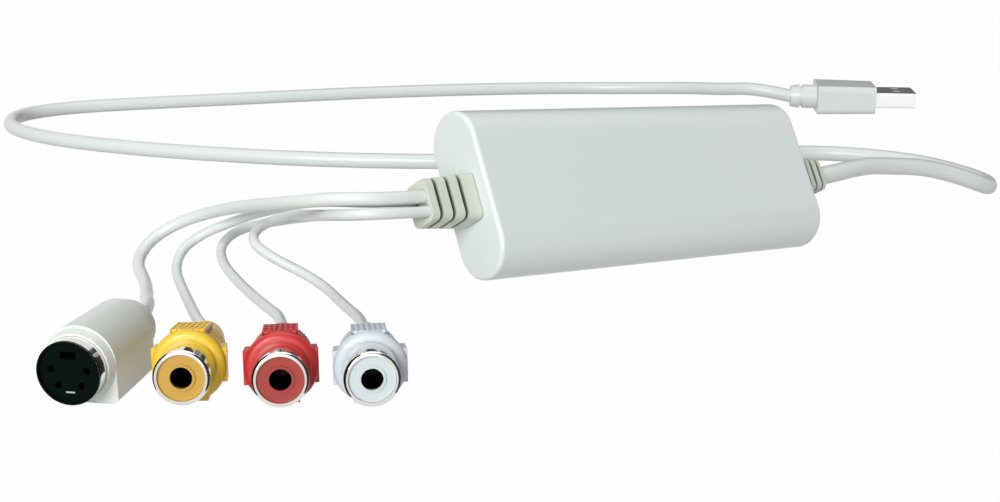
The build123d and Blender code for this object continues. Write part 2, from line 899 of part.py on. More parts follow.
def cord(name, points, diameter):
    """A round lead along its route, with its radii and volume printed."""
    radii = corner_radii(points)
    with BuildPart() as tube:
        with BuildLine() as route:
            FilletPolyline(*points, radius=radii)
        with BuildSketch(Plane(origin=points[0], z_dir=points[1] - points[0])):
            Circle(diameter / 2)
        sweep(path=route.line)
    tube.part.label = name
    length = sum(edge.length for edge in route.line.edges())
    expected = length * pi * (diameter / 2) ** 2
    least = min(radii)
    print(f"{name}: length {length:.1f}, least radius {least:.1f}", end=" ")
    print(f"({least / diameter:.1f} diameters), volume share {tube.part.volume / expected:.4f}")
    return tube


def relief_route(outlet_place, exit_run, points, entry_run, jack_plane, jack_length):
    """A lead from the breakout relief to the tail of a jack, straight at both of its ends."""
    upward, inward = outlet_place
    outlet = case_point(-end_half - breakout_relief_length, upward - relief_drop, -inward)
    start = [outlet, outlet - along * exit_run]
    tail = jack_plane.offset(-jack_length)
    end = [tail.offset(-entry_run).origin, tail.origin]
    return start + [Vector(*point) for point in points] + end


phono_length = barrel_reach + jack_body_length
svideo_route = relief_route(
    svideo_outlet_place,
    svideo_exit_run,
    [
        (-65.0, 3.5, 24.0),
        (-67.0, 12.0, 22.2),
        (-66.0, 22.5, 19.7),
        (-64.5, 33.5, 17.0),
        (-63.5, 43.5, 14.3),
        (-64.0, 52.5, 11.4),
        (-67.0, 58.5, 8.5),
        (-72.5, 60.0, 5.0),
        (-77.5, 56.0, 2.3),
        (-79.8, 48.0, 1.6),
        (-83.2, 40.0, 2.4),
        (-86.4, 32.8, 3.6),
        (-88.9, 26.3, 4.9),
    ],
    svideo_entry_run,
    din_front,
    din_end,
)
composite_route = relief_route(
    composite_outlet_place,
    rca_exit_run,
    [
        (-62.3, 8.3, 22.4),
        (-62.0, 16.5, 20.3),
        (-60.7, 24.5, 18.1),
        (-60.0, 33.0, 15.5),
        (-59.0, 41.5, 13.0),
        (-60.0, 48.5, 10.2),
        (-63.5, 53.5, 7.2),
        (-68.5, 53.5, 4.2),
        (-72.3, 48.8, 1.8),
        (-75.0, 41.0, 1.1),
        (-78.0, 32.7, 1.5),
        (-81.3, 24.0, 2.5),
        (-84.2, 16.0, 3.3),
    ],
    composite_entry_run,
    phono_jacks["composite_jack"],
    phono_length,
)
right_audio_route = relief_route(
    right_audio_outlet_place,
    rca_exit_run,
    [
        (-61.5, 6.0, 19.9),
        (-58.8, 14.2, 18.2),
        (-55.3, 22.5, 16.3),
        (-52.0, 31.0, 14.0),
        (-49.3, 39.2, 11.8),
        (-48.2, 47.2, 9.4),
        (-50.6, 53.9, 7.2),
        (-56.2, 56.5, 4.8),
        (-61.3, 53.3, 2.6),
        (-63.7, 46.5, 1.6),
        (-65.4, 38.0, 1.1),
        (-67.0, 29.0, 1.2),
        (-69.3, 20.0, 1.9),
        (-71.5, 11.6, 2.8),
    ],
    right_audio_entry_run,
    phono_jacks["right_audio_jack"],
    phono_length,
)
left_audio_route = relief_route(
    left_audio_outlet_place,
    rca_exit_run,
    [
        (-63.6, 0.2, 21.4),
        (-64.0, 8.2, 20.0),
        (-61.0, 16.5, 18.2),
        (-57.4, 24.5, 15.9),
        (-54.0, 32.0, 13.5),
        (-52.0, 39.5, 11.6),
        (-53.8, 45.0, 10.2),
        (-58.5, 46.2, 8.8),
        (-62.0, 42.4, 7.0),
        (-60.6, 37.2, 4.9),
        (-56.4, 32.6, 2.8),
        (-54.5, 25.5, 1.3),
        (-56.0, 17.5, 1.1),
        (-58.5, 9.8, 1.8),
        (-61.3, 2.2, 2.8),
    ],
    left_audio_entry_run,
    phono_jacks["left_audio_jack"],
    phono_length,
)
usb_outlet = case_point(end_half + usb_relief_length, -relief_drop, 0)
usb_route = [usb_outlet, usb_outlet + along * usb_exit_run] + [
    Vector(*point)
    for point in (
        (67.0, 0.5, 10.8),
        (77.0, 1.2, 9.6),
        (86.5, -1.0, 7.2),
        (95.5, -5.8, 4.8),
        (105.5, -5.5, 2.9),
        (114.0, 2.5, 2.0),
        (119.5, 13.5, 2.0),
        (121.0, 25.5, 2.0),
        (116.5, 37.5, 2.0),
        (106.0, 47.0, 2.0),
        (92.0, 55.0, 2.0),
        (72.0, 65.5, 2.0),
        (49.0, 79.5, 2.0),
        (24.0, 98.0, 2.0),
        (2.0, 120.0, 2.0),
        (-17.0, 144.0, 2.0),
        (-31.5, 167.0, 2.0),
        (-41.5, 189.0, 2.0),
        (-44.5, 207.0, 2.0),
        (-38.0, 222.5, 2.0),
        (-22.0, 227.0, 2.0),
        (0.0, 218.0, 2.0),
        (29.0, 206.2, 2.0),
        (64.0, 192.5, 2.0),
        (97.0, 175.0, 2.0),
        (117.5, 161.5, 2.0),
        (129.0, 151.5, 2.1),
        (137.0, 140.5, 2.6),
        (141.5, 129.0, 3.3),
        (143.5, 117.5, 3.9),
    )
] + [usb_back.offset(-usb_entry_run).origin, usb_back.origin]

cords = [
    cord("svideo_lead", svideo_route, svideo_lead_diameter),
    cord("composite_lead", composite_route, rca_lead_diameter),
    cord("right_audio_lead", right_audio_route, rca_lead_diameter),
    cord("left_audio_lead", left_audio_route, rca_lead_diameter),
    cord("usb_cable", usb_route, usb_cable_diameter),
]

pieces = [
    housing_sleeve,
    breakout_end_cap,
    usb_end_cap,
    breakout_strain_relief,
    usb_strain_relief,
    circuit_board,
    video_decoder_chip,
    usb_bridge_chip,
    audio_codec_chip,
    config_memory_chip,
    crystals,
    voltage_regulators,
    filter_capacitors,
    ceramic_capacitors,
    power_inductors,
    breakout_header,
    usb_header,
    breakout_inner_wires,
    usb_inner_wires,
    svideo_jack_body,
    svideo_jack_shield,
    svideo_jack_insulator,
    svideo_jack_contacts,
    usb_plug_overmould,
    usb_plug_shell,
    usb_plug_tongue,
    usb_plug_contacts,
]
for item in pieces + jack_pieces + cords:
    export_step(item.part, "parts/" + item.part.label + ".step")
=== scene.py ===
import bpy
import bmesh
import json
from math import cos, pi, radians, sin, tan
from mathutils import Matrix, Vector


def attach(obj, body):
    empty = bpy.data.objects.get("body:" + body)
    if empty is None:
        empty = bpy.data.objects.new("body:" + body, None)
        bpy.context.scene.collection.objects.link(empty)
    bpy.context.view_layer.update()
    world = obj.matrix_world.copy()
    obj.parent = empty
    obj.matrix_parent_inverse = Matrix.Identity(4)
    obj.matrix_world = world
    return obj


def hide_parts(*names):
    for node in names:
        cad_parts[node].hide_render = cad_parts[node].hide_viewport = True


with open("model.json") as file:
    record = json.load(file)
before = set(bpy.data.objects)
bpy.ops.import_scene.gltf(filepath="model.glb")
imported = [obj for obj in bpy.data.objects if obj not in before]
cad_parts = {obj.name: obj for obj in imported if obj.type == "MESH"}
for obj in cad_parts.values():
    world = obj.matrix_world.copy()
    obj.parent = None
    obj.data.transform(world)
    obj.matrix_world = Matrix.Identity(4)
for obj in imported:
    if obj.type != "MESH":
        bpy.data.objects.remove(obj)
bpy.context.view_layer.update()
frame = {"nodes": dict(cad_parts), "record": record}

# The object's places and sizes are written in millimetres, and the stage's in metres
MM = 0.001

# Case, and the frame that leans back with it
case_length = 81.5
case_width = 30.5
case_thickness = 12.7
cap_edge_round = 0.8
lean_back = radians(31.9)
pitch_up = radians(5.5)
along = Vector((cos(pitch_up), 0, -sin(pitch_up)))
up_face = Vector(
    (cos(lean_back) * sin(pitch_up), sin(lean_back), cos(lean_back) * cos(pitch_up))
)
out_of_face = along.cross(up_face)
end_half = case_length / 2
straight_half = (case_width - case_thickness) / 2
rim_lift = cap_edge_round * (sin(pitch_up) + cos(pitch_up) - 1)
case_centre_height = (
    end_half * sin(pitch_up)
    + (straight_half * cos(lean_back) + case_thickness / 2) * cos(pitch_up)
    - rim_lift
)
case_centre = Vector((0, 0, case_centre_height))

# Strain reliefs
relief_drop = 1.0
breakout_relief_length = 10.0
usb_relief_length = 8.4

# Phono jacks, measured back from the front rim of the metal barrel
composite_heading = radians(54.5)
audio_heading = radians(59.5)
phono_draft = radians(5.0)
phono_rim_height = 6.198
composite_rim = Vector((-101.8, -13.6, phono_rim_height))
right_audio_rim = Vector((-90.8, -23.0, phono_rim_height))
left_audio_rim = Vector((-80.2, -30.9, phono_rim_height))
barrel_reach = 6.25
phono_body_length = 17.0
phono_length = barrel_reach + phono_body_length

# S-video jack, measured back from the front rim of its metal shield
svideo_heading = radians(42.5)
svideo_rim_height = 6.0
svideo_rim = Vector((-113.7, -1.2, svideo_rim_height))
svideo_length = 23.0

# USB plug: where its cable enters it, and the way it points
usb_entry = Vector((153.8, 99.0, 4.25))
usb_heading = radians(-43.0)
usb_ahead = Vector((cos(usb_heading), sin(usb_heading), 0))


def case_point(lengthwise, upward, outward):
    """A point given in the case's own frame."""
    return case_centre + along * lengthwise + up_face * upward + out_of_face * outward


class JackFrame:
    """The frame of a lying jack: back from its rim, and round its axis from the top."""

    def __init__(self, rim, heading, draft, length):
        self.rim = rim
        self.forward = Vector(
            (-cos(heading) * cos(draft), -sin(heading) * cos(draft), sin(draft))
        )
        self.sideways = Vector((0, 0, 1)).cross(self.forward).normalized()
        self.upward = self.forward.cross(self.sideways)
        self.tail = rim - self.forward * length

    def point(self, back, across, above):
        """A point in metres from millimetres back, to the side and above the axis."""
        place = self.rim - self.forward * back
        return (place + self.sideways * across + self.upward * above) * MM


svideo_jack = JackFrame(svideo_rim, svideo_heading, 0, svideo_length)
composite_jack = JackFrame(composite_rim, composite_heading, phono_draft, phono_length)
right_audio_jack = JackFrame(right_audio_rim, audio_heading, phono_draft, phono_length)
left_audio_jack = JackFrame(left_audio_rim, audio_heading, phono_draft, phono_length)

# Camera: its focal length and the middle of its view are in pixels of the photograph
photo_width = 1000
focal_pixels = 1496
sensor_width = 36
view_centre_right = 1
view_centre_up = 3
camera_place = Vector((-188.9, -201.9, 82.9)) * MM
camera_direction = Vector((0.5865, 0.7616, -0.2756))
nearest_seen = 10 * MM


def make_camera():
    """The photograph's camera."""
    data = bpy.data.cameras.new("camera")
    data.sensor_width = sensor_width
    data.lens = focal_pixels * sensor_width / photo_width
    data.shift_x = view_centre_right / photo_width
    data.shift_y = view_centre_up / photo_width
    data.clip_start = nearest_seen
    camera = bpy.data.objects.new("camera", data)
    camera.location = camera_place
    camera.rotation_mode = "QUATERNION"
    camera.rotation_quaternion = camera_direction.to_track_quat("-Z", "Y")
    bpy.context.scene.collection.objects.link(camera)
    bpy.context.scene.camera = camera


make_camera()

# Leads and cable: diameters, lengths, and the straight runs at both of their ends
svideo_lead_diameter = 2.3
rca_lead_diameter = 1.9
usb_cable_diameter = 3.8
composite_lead_length = 122.4
right_audio_lead_length = 137
left_audio_lead_length = 126.5
svideo_exit_run = 7.5
rca_exit_run = 6.8
usb_exit_run = 7.0
usb_exit_rise = 0.7
svideo_entry_run = 5.0
composite_entry_run = 4.5
right_audio_entry_run = 6.0
left_audio_entry_run = 7.0
usb_entry_run = 10.1
usb_entry_rise = 2.2

# Outlets in the strain reliefs: up the face from the relief's middle, and out of the face
svideo_outlet_place = (0.8, 1.3)
composite_outlet_place = (1.1, -1.3)
right_audio_outlet_place = (-0.9, -1.3)
left_audio_outlet_place = (-1.9, 1.5)


def breakout_outlet(place):
    """Where a lead leaves the breakout relief."""
    upward, outward = place
    return case_point(-end_half - breakout_relief_length, upward - relief_drop, outward)


svideo_outlet = breakout_outlet(svideo_outlet_place)
composite_outlet = breakout_outlet(composite_outlet_place)
right_audio_outlet = breakout_outlet(right_audio_outlet_place)
left_audio_outlet = breakout_outlet(left_audio_outlet_place)
usb_outlet = case_point(end_half + usb_relief_length, -relief_drop, 0)

# Routes, from the case outwards: the points pull a smooth line, which need not touch them
svideo_route = [
    svideo_outlet,
    svideo_outlet - along * svideo_exit_run,
    (-65.0, 3.5, 24.0),
    (-67.1, 11.9, 22.1),
    (-66.2, 22.1, 19.6),
    (-64.7, 33.1, 16.9),
    (-63.7, 43.2, 14.2),
    (-64.0, 52.5, 11.3),
    (-67.2, 58.3, 8.8),
    (-72.5, 60.0, 5.8),
    (-77.2, 56.1, 3.0),
    (-79.2, 48.0, 1.8),
    (-82.8, 39.2, 2.6),
    (-86.0, 32.5, 3.6),
    (-88.5, 26.0, 4.9),
    svideo_jack.tail - svideo_jack.forward * svideo_entry_run,
    svideo_jack.tail,
]
composite_route = [
    composite_outlet,
    composite_outlet - along * rca_exit_run,
    (-62.4, 8.2, 22.3),
    (-62.0, 16.5, 20.4),
    (-60.9, 24.1, 18.3),
    (-60.1, 32.9, 15.5),
    (-59.0, 41.6, 12.8),
    (-60.2, 48.1, 10.1),
    (-63.6, 53.8, 7.3),
    (-68.5, 54.5, 4.6),
    (-72.2, 49.9, 2.1),
    (-75.2, 40.8, 1.4),
    (-78.0, 32.7, 1.5),
    (-81.3, 24.0, 2.5),
    (-84.2, 16.0, 3.3),
    composite_jack.tail - composite_jack.forward * composite_entry_run,
    composite_jack.tail,
]
right_audio_route = [
    right_audio_outlet,
    right_audio_outlet - along * rca_exit_run,
    (-61.7, 5.7, 20.2),
    (-58.7, 14.4, 17.9),
    (-55.2, 22.7, 15.6),
    (-51.9, 31.1, 13.3),
    (-49.5, 38.9, 11.1),
    (-48.5, 46.7, 9.0),
    (-50.3, 53.9, 7.0),
    (-55.2, 57.1, 5.6),
    (-60.1, 55.0, 3.7),
    (-62.9, 48.6, 2.0),
    (-65.0, 38.6, 1.3),
    (-67.0, 29.2, 1.3),
    (-69.2, 20.1, 1.9),
    (-71.4, 11.6, 2.9),
    right_audio_jack.tail - right_audio_jack.forward * right_audio_entry_run,
    right_audio_jack.tail,
]
left_audio_route = [
    left_audio_outlet,
    left_audio_outlet - along * rca_exit_run,
    (-63.4, 0.4, 21.7),
    (-63.2, 8.9, 19.8),
    (-61.0, 16.3, 18.0),
    (-57.9, 24.3, 15.9),
    (-54.9, 31.5, 13.9),
    (-51.8, 37.9, 12.3),
    (-52.1, 43.6, 10.7),
    (-56.9, 45.3, 9.0),
    (-60.6, 41.0, 7.6),
    (-58.9, 36.0, 5.3),
    (-55.4, 31.4, 3.0),
    (-54.2, 25.4, 1.5),
    (-56.0, 17.6, 1.2),
    (-58.6, 9.8, 1.9),
    (-61.3, 2.2, 2.9),
    left_audio_jack.tail - left_audio_jack.forward * left_audio_entry_run,
    left_audio_jack.tail,
]
usb_route = [
    usb_outlet,
    usb_outlet + along * usb_exit_run + Vector((0, 0, usb_exit_rise)),
    (66.9, 0.4, 12.1),
    (75.8, 0.2, 10.8),
    (85.1, -0.9, 9.5),
    (93.1, -2.7, 7.3),
    (99.8, -4.6, 4.8),
    (106.2, -4.4, 2.4),
    (111.8, -0.2, 2.0),
    (115.0, 7.6, 2.0),
    (117.5, 20.6, 2.0),
    (114.4, 33.6, 2.0),
    (106.2, 46.6, 2.0),
    (92.0, 55.0, 2.0),
    (72.0, 65.5, 2.0),
    (49.0, 79.5, 2.0),
    (22.8, 96.4, 2.0),
    (0.0, 117.3, 2.0),
    (-19.3, 141.0, 2.0),
    (-34.2, 163.8, 2.0),
    (-44.5, 186.2, 2.0),
    (-47.0, 206.5, 2.0),
    (-39.0, 222.8, 2.0),
    (-22.0, 225.7, 2.0),
    (0.0, 218.0, 2.0),
    (29.0, 206.2, 2.0),
    (64.0, 192.5, 2.0),
    (97.0, 175.0, 2.0),
    (117.5, 161.5, 2.0),
    (129.0, 151.5, 2.1),
    (137.0, 140.5, 2.8),
    (141.5, 129.0, 3.9),
    (143.5, 117.5, 4.9),
    usb_entry - usb_ahead * usb_entry_run + Vector((0, 0, usb_entry_rise)),
    usb_entry,
]


def make_cord(name, route, diameter, node):
    """A round lead whose smooth line follows its route."""
    data = bpy.data.curves.new(name, "CURVE")
    data.dimensions = "3D"
    data.resolution_u = 12
    data.bevel_resolution = 6
    data.use_fill_caps = True
    # The radius is on the points alone, so that the box round the curve is its true one
    data.bevel_depth = 1
    spline = data.splines.new("NURBS")
    spline.points.add(len(route) - 1)
    for point, place in zip(spline.points, route):
        point.co = (*(Vector(place) * MM), 1)
        point.radius = diameter / 2 * MM
    spline.order_u = 3
    spline.use_endpoint_u = True
    piece = bpy.data.objects.new(name, data)
    bpy.context.scene.collection.objects.link(piece)
    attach(piece, "root")
    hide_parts(node)
    return piece


# Corners of a box's faces, where its front and then its back are numbered round the box
box_faces = (
    (0, 1, 2, 3),
    (7, 6, 5, 4),
    (0, 4, 5, 1),
    (1, 5, 6, 2),
    (2, 6, 7, 3),
    (3, 7, 4, 0),
)
sharp_angle = radians(32)


def add_turned(shape, jack, profile, segments, rib_depth=0, ribbed=()):
    """Turns a profile of (back, radius) round the jack's axis, with ribs on some of its rings."""
    rings = []
    for index, (back, radius) in enumerate(profile):
        ring = []
        for step in range(segments):
            turn = 2 * pi * step / segments
            lift = rib_depth * (step % 2) if index in ribbed else 0
            reach = radius - lift
            ring.append(shape.verts.new(jack.point(back, reach * sin(turn), reach * cos(turn))))
        rings.append(ring)
    for first, second in zip(rings, rings[1:]):
        for step in range(segments):
            after = (step + 1) % segments
            shape.faces.new((first[step], first[after], second[after], second[step]))


def make_piece(name, shape, node=None):
    """A finished piece that rides with the object."""
    mesh = bpy.data.meshes.new(name)
    bmesh.ops.recalc_face_normals(shape, faces=shape.faces)
    shape.to_mesh(mesh)
    shape.free()
    for polygon in mesh.polygons:
        polygon.use_smooth = True
    mesh.set_sharp_from_angle(angle=sharp_angle)
    piece = bpy.data.objects.new(name, mesh)
    bpy.context.scene.collection.objects.link(piece)
    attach(piece, "root")
    if node:
        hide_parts(node)
    return piece


# Phono jacks' grips
grip_segments = 96
overlap = 0.1
shoulder_radius = 5.5
shoulder_back = 7.85
shoulder_inner_radius = 4.6
core_front_radius = 5.1
core_back_radius = 4.65
core_inner_radius = 4.0
core_back = 15.25
knurl_ribs = 64
knurl_depth = 0.16
tail_front_radius = 4.3
tail_back_radius = 3.0
tail_closing_radius = 0.01
tail_segments = 64
pad_front = 7.45
pad_back = 14.25
side_pad_back = 10.4
pad_half_width = 2.6
pad_radius = 5.57
pad_root = 3.5
pad_draft = tan(phono_draft)

# The shoulder's front and round edge: back from the barrel's reach, and radius
shoulder_edge = [
    (0, 3.2),
    (0, 4.5),
    (0.06, 4.9),
    (0.25, 5.22),
    (0.55, 5.43),
    (0.95, shoulder_radius),
]

# The waffle on a grip's top pad: ribs along it and rows across it, over a lower ground
waffle_depth = 0.42
waffle_ribs = 7
waffle_rib_half_width = 0.12
waffle_rows = 5
waffle_row_half_length = 0.25
waffle_row_drop = 0.01


def add_pad(shape, jack, turn, middle, half_width, front, back, lowered):
    """A drafted block on the core, turned round the axis, its top lowered from the pad's own."""
    corners = []
    for place in (front, back):
        top = pad_radius - lowered - (place - pad_front) * pad_draft
        for across, above in (
            (middle - half_width, pad_root),
            (middle + half_width, pad_root),
            (middle + half_width, top),
            (middle - half_width, top),
        ):
            sideways = across * cos(turn) + above * sin(turn)
            upward = above * cos(turn) - across * sin(turn)
            corners.append(shape.verts.new(jack.point(place, sideways, upward)))
    for face in box_faces:
        shape.faces.new([corners[corner] for corner in face])


def make_grip(jack_name, jack):
    """A phono jack's grip: round shoulder, knurled core, tail, plain pads and a waffled top pad."""
    shape = bmesh.new()
    shoulder = [(barrel_reach + back, radius) for back, radius in shoulder_edge]
    shoulder += [(shoulder_back, shoulder_radius), (shoulder_back, shoulder_inner_radius)]
    add_turned(shape, jack, shoulder, grip_segments)
    core = [
        (shoulder_back - overlap, core_front_radius),
        (core_back, core_back_radius),
        (core_back, core_inner_radius),
    ]
    add_turned(shape, jack, core, 2 * knurl_ribs, rib_depth=knurl_depth, ribbed=(0, 1))
    tail = [
        (core_back - overlap, tail_front_radius),
        (phono_length, tail_back_radius),
        (phono_length, tail_closing_radius),
    ]
    add_turned(shape, jack, tail, tail_segments)

    for turn, back in ((pi / 2, side_pad_back), (pi, pad_back), (-pi / 2, side_pad_back)):
        add_pad(shape, jack, turn, 0, pad_half_width, pad_front, back, 0)
    add_pad(shape, jack, 0, 0, pad_half_width, pad_front, pad_back, waffle_depth)
    rib_pitch = 2 * (pad_half_width - waffle_rib_half_width) / (waffle_ribs - 1)
    for rib in range(waffle_ribs):
        across = -pad_half_width + waffle_rib_half_width + rib * rib_pitch
        add_pad(shape, jack, 0, across, waffle_rib_half_width, pad_front, pad_back, 0)
    row_pitch = (pad_back - pad_front) / (waffle_rows - 1)
    for row in range(waffle_rows):
        middle = pad_front + row * row_pitch
        start = max(pad_front, middle - waffle_row_half_length)
        end = min(pad_back, middle + waffle_row_half_length)
        add_pad(shape, jack, 0, 0, pad_half_width, start, end, waffle_row_drop)
    return make_piece(jack_name + "_jack_grip", shape, node=jack_name + "_jack_body")


# Rims: the edge of each phono pin hole, and the S-video insert's edge over its shield
hole_radius = 1.65
hole_rim_width = 0.16
hole_rim_front = 0.18
hole_rim_back = 0.3
hole_lining = 0.02
hole_lining_back = 0.6
hole_segments = 64
face_rim_inner_radius = 4.6
face_rim_outer_radius = 4.96
face_rim_proud = 0.02
face_rim_edge_radius = 4.93
face_rim_edge_back = 0.04
face_rim_inside_back = 0.5
face_rim_outside_back = 0.3


def make_hole_rim(jack_name, jack):
    """The raised edge of a phono jack's pin hole."""
    shape = bmesh.new()
    inner = hole_radius - hole_lining
    outer = hole_radius + hole_rim_width
    profile = [
        (hole_lining_back, inner),
        (hole_rim_front, inner),
        (hole_rim_front, outer),
        (hole_rim_back, outer),
    ]
    add_turned(shape, jack, profile, hole_segments)
    return make_piece(jack_name + "_hole_rim", shape)


def make_face_rim():
    """The round edge of the S-video insert."""
    shape = bmesh.new()
    profile = [
        (face_rim_inside_back, face_rim_inner_radius),
        (-face_rim_proud, face_rim_inner_radius),
        (-face_rim_proud, face_rim_edge_radius),
        (face_rim_edge_back, face_rim_outer_radius),
        (face_rim_outside_back, face_rim_outer_radius),
    ]
    add_turned(shape, svideo_jack, profile, grip_segments)
    return make_piece("svideo_face_rim", shape)


# Phono jacks: each one's frame, slot, route and lead length
phono_jacks = {
    "composite": (composite_jack, "composite_yellow", composite_route, composite_lead_length),
    "right_audio": (right_audio_jack, "audio_red", right_audio_route, right_audio_lead_length),
    "left_audio": (left_audio_jack, "jack_white", left_audio_route, left_audio_lead_length),
}
grips = {
    jack_name: make_grip(jack_name, jack)
    for jack_name, (jack, slot, route, length) in phono_jacks.items()
}
hole_rims = {
    jack_name: make_hole_rim(jack_name, jack)
    for jack_name, (jack, slot, route, length) in phono_jacks.items()
}
face_rim = make_face_rim()


def nodes_of(piece, *parts):
    """The CAD nodes that make up a jack or a plug."""
    return [piece + "_" + part for part in parts]


cords = [
    make_cord(
        "svideo_cord", svideo_route, svideo_lead_diameter,
        "svideo_lead",
    )
]
for jack_name, (jack, slot, route, length) in phono_jacks.items():
    jack_pieces = nodes_of(jack_name + "_jack", "barrel", "insulator", "contact")
    jack_pieces += [grips[jack_name], hole_rims[jack_name]]
    cords.append(
        make_cord(
            jack_name + "_cord", route, rca_lead_diameter,
            jack_name + "_lead",
        )
    )
cords.append(
    make_cord(
        "usb_cord", usb_route, usb_cable_diameter,
        "usb_cable",
    )
)

# Materials: the grain and gloss that the mouldings share, the painted shade for their narrow
# hollows, and the grain and gloss that the metals share
grain_scale = 600
grain_detail = 1
grain_depth = 0.05 * MM
gloss_spread = 0.03
coat_roughness = 0.08
scatter_depths = (0.6 * MM, 0.5 * MM, 0.4 * MM)
# Painted shade: how far the occlusion looks, its samples, and the occlusion values at which the
# painted shade colour is full and at which it is gone
painted_shade_reach = 1.2 * MM
painted_shade_samples = 12
painted_shade_darkest = 0.3
painted_shade_lightest = 0.75
polish_scale = 400
polish_detail = 2
polish_depth = 0.02 * MM
polish_spread = 0.05


def srgb(red, green, blue):
    """A colour written as it looks on screen, as the shader's linear values."""
    linear = [
        channel / 12.92 if channel <= 0.04045 else ((channel + 0.055) / 1.055) ** 2.4
        for channel in (red / 255, green / 255, blue / 255)
    ]
    return (*linear, 1)


looks = {}


def new_look(name):
    """A material with a plain shader, kept under its name."""
    material = bpy.data.materials.new(name)
    material.use_nodes = True
    looks[name] = material
    return material


def add_grain(tree, scale, detail, least_roughness, most_roughness, height, depth):
    """Noise that varies the shader's roughness and its height."""
    shader = tree.nodes["Principled BSDF"]
    coordinates = tree.nodes.new("ShaderNodeTexCoord")
    noise = tree.nodes.new("ShaderNodeTexNoise")
    noise.inputs["Scale"].default_value = scale
    noise.inputs["Detail"].default_value = detail
    spread = tree.nodes.new("ShaderNodeMapRange")
    spread.inputs["To Min"].default_value = least_roughness
    spread.inputs["To Max"].default_value = most_roughness
    bump = tree.nodes.new("ShaderNodeBump")
    bump.inputs["Strength"].default_value = height
    bump.inputs["Distance"].default_value = depth
    tree.links.new(coordinates.outputs["Object"], noise.inputs["Vector"])
    tree.links.new(noise.outputs["Fac"], spread.inputs["Value"])
    tree.links.new(spread.outputs["Result"], shader.inputs["Roughness"])
    tree.links.new(noise.outputs["Fac"], bump.inputs["Height"])
    tree.links.new(bump.outputs["Normal"], shader.inputs["Normal"])


def add_painted_hollow_shade(tree, colour, painted_shade_colour):
    """Mixes a painted shade colour into the base colour where the surface lies in a narrow hollow,
    where shade would fall.
    """
    hollow = tree.nodes.new("ShaderNodeAmbientOcclusion")
    hollow.inputs["Distance"].default_value = painted_shade_reach
    hollow.samples = painted_shade_samples
    shade = tree.nodes.new("ShaderNodeMapRange")
    shade.inputs["From Min"].default_value = painted_shade_darkest
    shade.inputs["From Max"].default_value = painted_shade_lightest
    mixed = tree.nodes.new("ShaderNodeMix")
    mixed.data_type = "RGBA"
    mixed.inputs["A"].default_value = painted_shade_colour
    mixed.inputs["B"].default_value = colour
    tree.links.new(hollow.outputs["AO"], shade.inputs["Value"])
    tree.links.new(shade.outputs["Result"], mixed.inputs["Factor"])
    tree.links.new(mixed.outputs["Result"], tree.nodes["Principled BSDF"].inputs["Base Color"])


def moulded(name, colour, roughness, coat=0.0, grain=0.0, soft=0.0, specular=0.5, painted_shade_colour=None):
    """A moulded plastic surface with a fine grain, and with painted shade in its narrow hollows
    where a shade colour is given.
    """
    material = new_look(name)
    tree = material.node_tree
    shader = tree.nodes["Principled BSDF"]
    shader.inputs["Base Color"].default_value = colour
    shader.inputs["Specular IOR Level"].default_value = specular
    shader.inputs["Coat Weight"].default_value = coat
    shader.inputs["Coat Roughness"].default_value = coat_roughness
    shader.inputs["Subsurface Weight"].default_value = soft
    shader.inputs["Subsurface Radius"].default_value = scatter_depths
    shader.inputs["Subsurface Scale"].default_value = 1
    add_grain(
        tree, grain_scale, grain_detail, roughness - gloss_spread, roughness + gloss_spread,
        grain, grain_depth,
    )
    if painted_shade_colour:
        add_painted_hollow_shade(tree, colour, painted_shade_colour)
    return material


def metal(name, colour, roughness, grain=0.0):
    """A plated or bare metal surface with faint variation in its polish."""
    material = new_look(name)
    tree = material.node_tree
    shader = tree.nodes["Principled BSDF"]
    shader.inputs["Base Color"].default_value = colour
    shader.inputs["Metallic"].default_value = 1
    add_grain(
        tree, polish_scale, polish_detail, roughness, roughness + polish_spread,
        grain, polish_depth,
    )
    return material


# One look for each slot
moulded("case_white", srgb(219, 227, 224), 0.32, coat=0.05, grain=0.02, soft=0.05)
# The relief's grooves get painted shade: a dark colour mixed in where the surface lies deep in a
# groove
moulded("relief_white", srgb(206, 213, 199), 0.45, grain=0.08, painted_shade_colour=srgb(70, 82, 66))
moulded("lead_white", srgb(219, 225, 221), 0.34, coat=0.08)
moulded("composite_yellow", srgb(228, 190, 46), 0.34, grain=0.05)
moulded("audio_red", srgb(190, 44, 40), 0.36, grain=0.05)
moulded("jack_white", srgb(200, 208, 214), 0.35, grain=0.04, soft=0.05)
metal("nickel", srgb(222, 220, 214), 0.06)
metal("shell_steel", srgb(228, 228, 229), 0.3, grain=0.1)
metal("contact_metal", srgb(214, 178, 104), 0.2)
moulded("insert_black", srgb(2, 12, 9), 0.5, grain=0.04, specular=0.03)
metal("contact_dark", srgb(30, 30, 30), 0.4)
moulded("tongue_white", srgb(230, 229, 224), 0.5)
moulded("board_green", srgb(30, 95, 50), 0.35, grain=0.05)
moulded("chip_black", srgb(34, 34, 36), 0.55, grain=0.1)
metal("can_aluminium", srgb(205, 206, 208), 0.25)
moulded("ceramic_tan", srgb(176, 140, 100), 0.5)
moulded("header_white", srgb(228, 224, 210), 0.5)
moulded("wire_grey", srgb(120, 120, 124), 0.45)

# Looks of single nodes that differ from their slot's: the inserts and the S-video jack
moulded("yellow_insert", srgb(192, 150, 54), 0.4, grain=0.03)
moulded("red_insert", srgb(156, 50, 42), 0.4, grain=0.03)
moulded("white_insert", srgb(198, 208, 208), 0.4, grain=0.03)
moulded("svideo_white", srgb(219, 225, 219), 0.35, grain=0.04)
metal("socket_metal", srgb(190, 195, 190), 0.3)
insert_looks = {
    "composite": "yellow_insert",
    "right_audio": "red_insert",
    "left_audio": "white_insert",
}


def dress(piece, look):
    """Gives a piece one look all over."""
    piece.data.materials.clear()
    piece.data.materials.append(looks[look])


